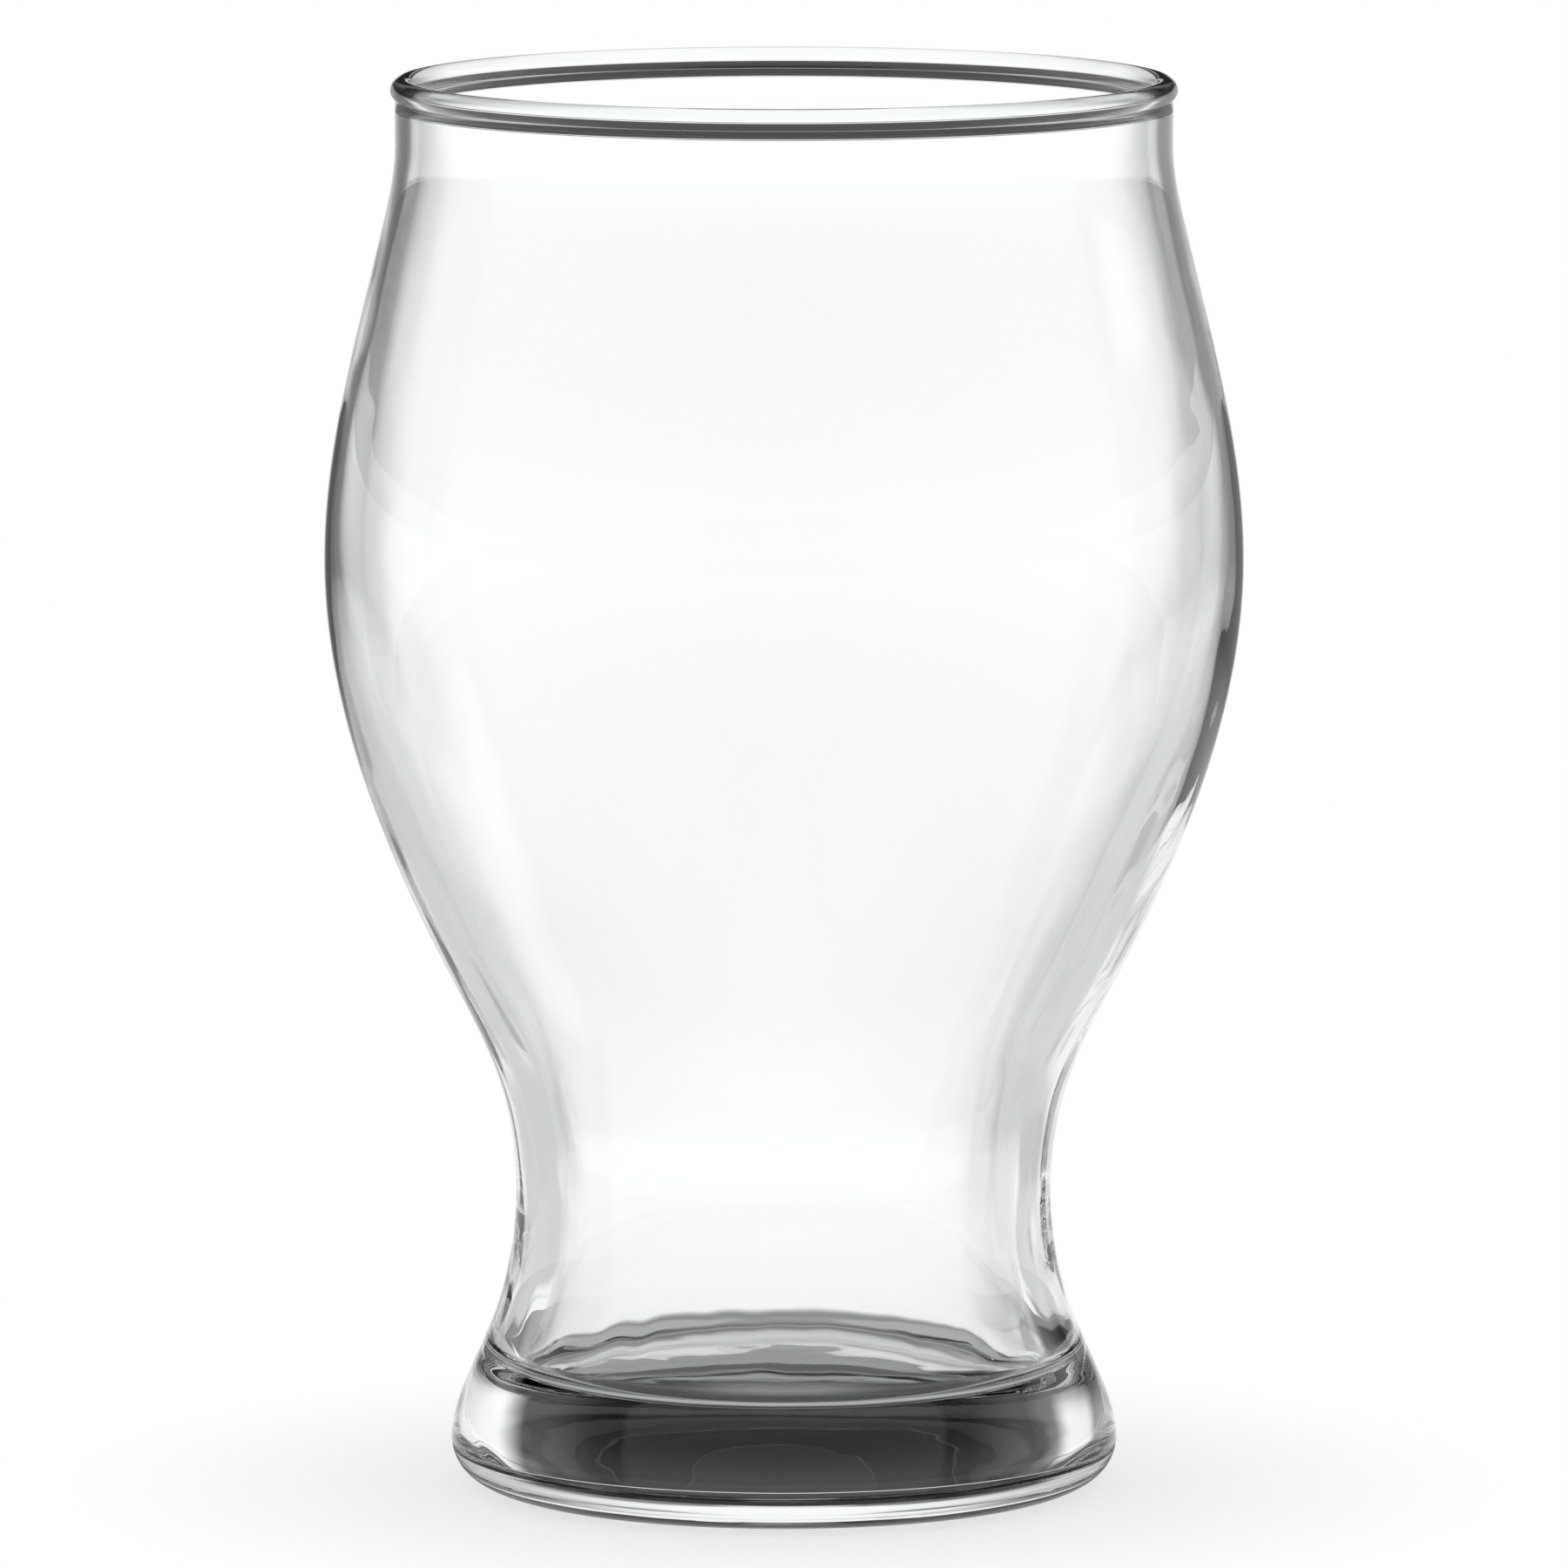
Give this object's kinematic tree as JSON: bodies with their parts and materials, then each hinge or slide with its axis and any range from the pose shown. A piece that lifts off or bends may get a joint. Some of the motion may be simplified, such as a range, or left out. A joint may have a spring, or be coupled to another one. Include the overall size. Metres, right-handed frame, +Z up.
{
  "type": "beer glass",
  "caption": "Clear beer glass with a beaded rim, a round bulb narrowing to a waist, and a heavy flared foot with a rounded sole; holds a drink and stands on a table.",
  "frame": {"origin": "on the table, at the middle of the foot's bearing ring", "axes": "+Z up along the glass's axis, from the foot to the mouth; X and Y are alike, because the glass is round"},
  "size_m": [0.0896, 0.0896, 0.138],
  "materials": {
    "clear_glass": "fire-polished clear soda-lime glass"
  },
  "bodies": {
    "root": {"foot_sole": "clear_glass", "foot_block": "clear_glass", "waist_wall": "clear_glass", "bowl_wall": "clear_glass", "shoulder_wall": "clear_glass", "rim_bead": "clear_glass"}
  },
  "joints": []
}
